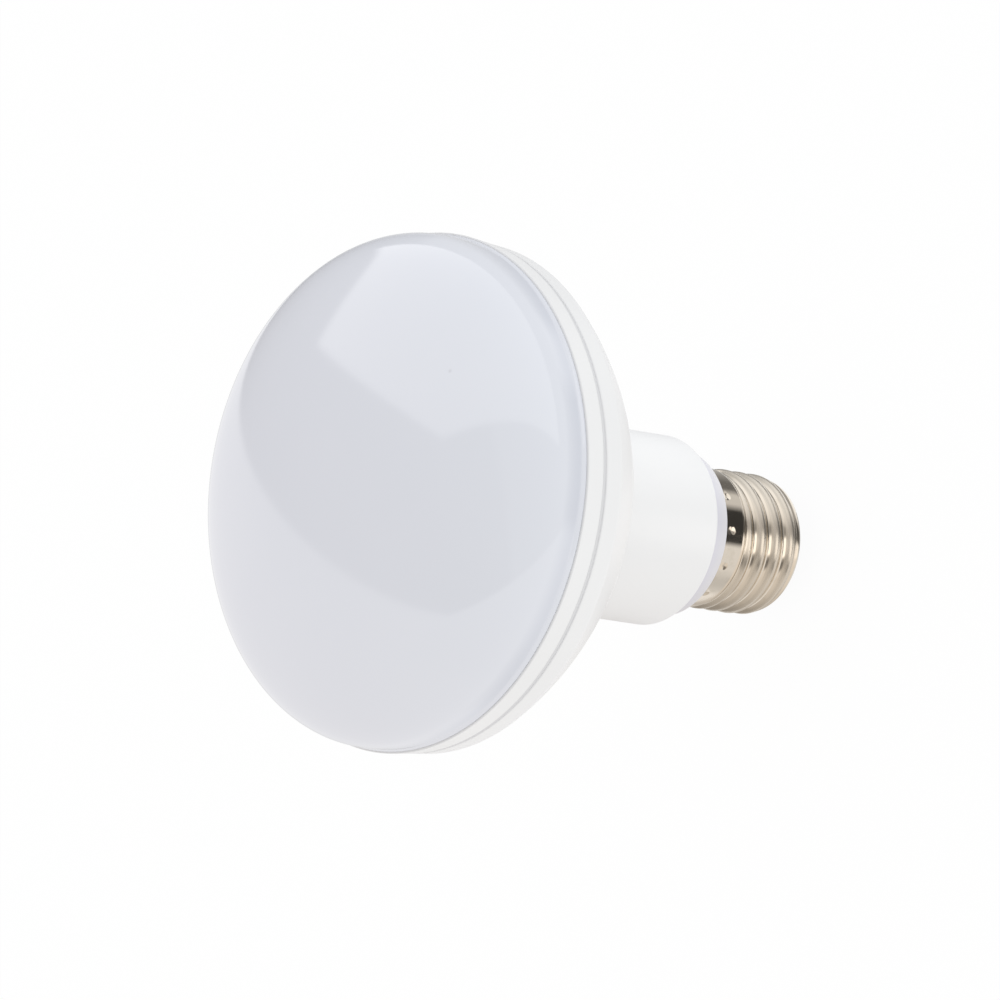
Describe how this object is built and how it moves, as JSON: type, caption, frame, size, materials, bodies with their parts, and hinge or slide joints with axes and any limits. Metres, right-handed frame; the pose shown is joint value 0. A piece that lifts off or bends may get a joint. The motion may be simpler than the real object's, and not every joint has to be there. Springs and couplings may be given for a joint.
{
  "type": "reflector bulb",
  "caption": "Reflector lamp with an opal domed front, white bowl-shaped body and cylindrical neck, and a nickel screw cap with a round thread, crimped skirt and centre contact.",
  "frame": {"origin": "tip of the centre contact, on the lamp's axis", "axes": "+Z along the lamp's axis from the cap to the dome; +X and +Y are square to it, with the pictured side facing -Y"},
  "size_m": [0.095, 0.095, 0.115],
  "materials": {
    "opal_diffuser": "opal, satin",
    "white_housing": "satin moulded",
    "collar_plastic": "satin moulded",
    "nickel_shell": "nickel plated, bright",
    "insulator": "smooth",
    "contact_metal": "tinned, satin"
  },
  "bodies": {
    "root": {"diffuser": "opal_diffuser", "front_ring": "white_housing", "housing": "white_housing", "cap_collar": "collar_plastic", "screw_shell": "nickel_shell", "cap_insulator": "insulator", "centre_contact": "contact_metal"}
  },
  "joints": []
}
